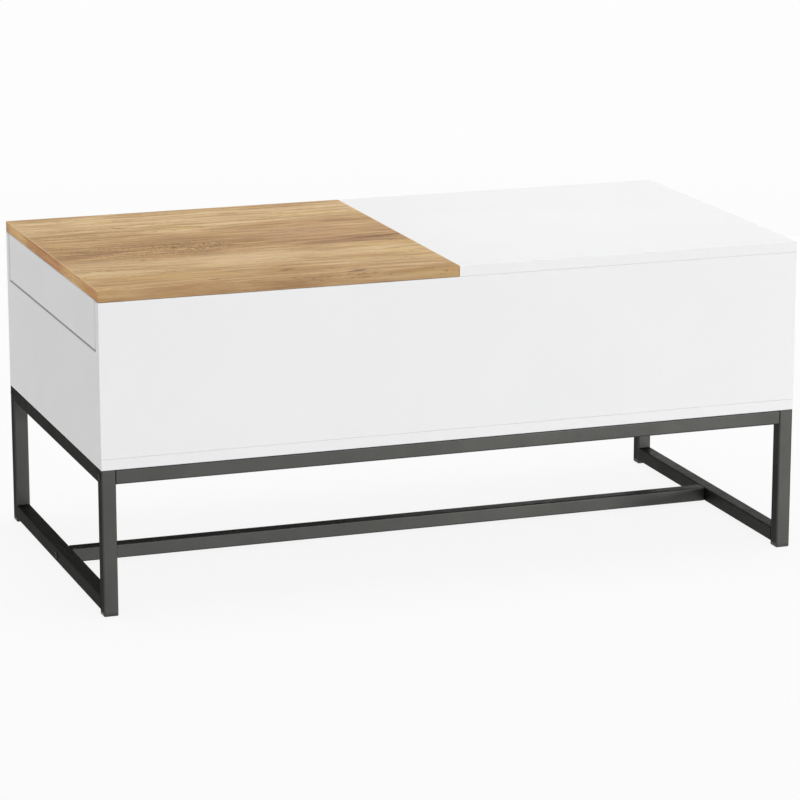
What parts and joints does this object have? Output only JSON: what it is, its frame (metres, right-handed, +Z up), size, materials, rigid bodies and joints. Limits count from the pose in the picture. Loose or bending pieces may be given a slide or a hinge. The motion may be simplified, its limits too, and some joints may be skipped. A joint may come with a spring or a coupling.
{
  "type": "extendable coffee table",
  "caption": "Rectangular coffee table: a white storage chest on a dark square-tube stand, with a sliding oak leaf that pulls out at one end and uncovers the chest.",
  "frame": {"origin": "on the floor under the middle of the table", "axes": "+X along the length towards the fixed half, with the leaf at -X; -Y is the front; +Z up"},
  "size_m": [1.003, 0.51, 0.4405],
  "materials": {
    "white_board": "white melamine-faced board, satin, white edge band",
    "oak_board": "golden oak decor with knots, matt, matching edge band",
    "frame_coat": "anthracite powder coat, fine texture",
    "foot_plastic": "black moulded plastic",
    "black_bolt": "black zinc, satin",
    "zinc_steel": "bright zinc plate",
    "cam_zinc": "bare die-cast zinc",
    "runner_steel": "bright zinc plate, lightly oiled",
    "cage_steel": "plain rolled steel",
    "ball_steel": "polished bearing steel",
    "beech": "plain beech, unfinished",
    "stop_rubber": "translucent soft stop"
  },
  "bodies": {
    "case": {"bottom_board": "white_board", "front_panel": "white_board", "rear_panel": "white_board", "left_end_panel": "white_board", "right_end_panel": "white_board", "centre_rail": "white_board", "fixed_top": "white_board", "left_front_leg": "frame_coat", "left_rear_leg": "frame_coat", "right_front_leg": "frame_coat", "right_rear_leg": "frame_coat", "left_top_rail": "frame_coat", "left_low_rail": "frame_coat", "right_top_rail": "frame_coat", "right_low_rail": "frame_coat", "front_long_rail": "frame_coat", "rear_long_rail": "frame_coat", "low_stretcher": "frame_coat", "foot_glides": "foot_plastic", "frame_bolts": "black_bolt", "case_bolts": "black_bolt", "rail_plugs": "zinc_steel", "threaded_inserts": "zinc_steel", "base_screws": "zinc_steel", "runner_panel_screws": "zinc_steel", "chest_cam_bolts": "zinc_steel", "chest_cam_locks": "cam_zinc", "front_runner_outer": "runner_steel", "rear_runner_outer": "runner_steel", "chest_dowels": "beech", "stop_buffers": "stop_rubber"},
    "leaf": {"leaf_top": "oak_board", "leaf_apron": "white_board", "leaf_cross_rail": "white_board", "leaf_front_rail": "white_board", "leaf_rear_rail": "white_board", "front_runner_inner": "runner_steel", "rear_runner_inner": "runner_steel", "leaf_cam_locks": "cam_zinc", "leaf_cam_bolts": "zinc_steel", "leaf_dowels": "beech", "runner_leaf_screws": "zinc_steel"},
    "front_middle": {"front_runner_middle": "runner_steel"},
    "front_outer_cage": {"front_outer_cage": "cage_steel", "front_outer_balls": "ball_steel"},
    "front_inner_cage": {"front_inner_cage": "cage_steel", "front_inner_balls": "ball_steel"},
    "rear_middle": {"rear_runner_middle": "runner_steel"},
    "rear_outer_cage": {"rear_outer_cage": "cage_steel", "rear_outer_balls": "ball_steel"},
    "rear_inner_cage": {"rear_inner_cage": "cage_steel", "rear_inner_balls": "ball_steel"}
  },
  "joints": [
    {"name": "leaf_slide", "type": "slide", "parent": "case", "child": "leaf", "axis": [-1, 0, 0], "range_m": [0, 0.4]},
    {"name": "front_middle_slide", "type": "slide", "parent": "case", "child": "front_middle", "axis": [-1, 0, 0], "range_m": [0, 0.2]},
    {"name": "front_outer_cage_slide", "type": "slide", "parent": "case", "child": "front_outer_cage", "axis": [-1, 0, 0], "range_m": [0, 0.1]},
    {"name": "front_inner_cage_slide", "type": "slide", "parent": "case", "child": "front_inner_cage", "axis": [-1, 0, 0], "range_m": [0, 0.3]},
    {"name": "rear_middle_slide", "type": "slide", "parent": "case", "child": "rear_middle", "axis": [-1, 0, 0], "range_m": [0, 0.2]},
    {"name": "rear_outer_cage_slide", "type": "slide", "parent": "case", "child": "rear_outer_cage", "axis": [-1, 0, 0], "range_m": [0, 0.1]},
    {"name": "rear_inner_cage_slide", "type": "slide", "parent": "case", "child": "rear_inner_cage", "axis": [-1, 0, 0], "range_m": [0, 0.3]}
  ],
  "couplings": [
    {"joint": "front_middle_slide", "follows": "leaf_slide", "ratio": 0.5},
    {"joint": "front_outer_cage_slide", "follows": "leaf_slide", "ratio": 0.25},
    {"joint": "front_inner_cage_slide", "follows": "leaf_slide", "ratio": 0.75},
    {"joint": "rear_middle_slide", "follows": "leaf_slide", "ratio": 0.5},
    {"joint": "rear_outer_cage_slide", "follows": "leaf_slide", "ratio": 0.25},
    {"joint": "rear_inner_cage_slide", "follows": "leaf_slide", "ratio": 0.75}
  ]
}
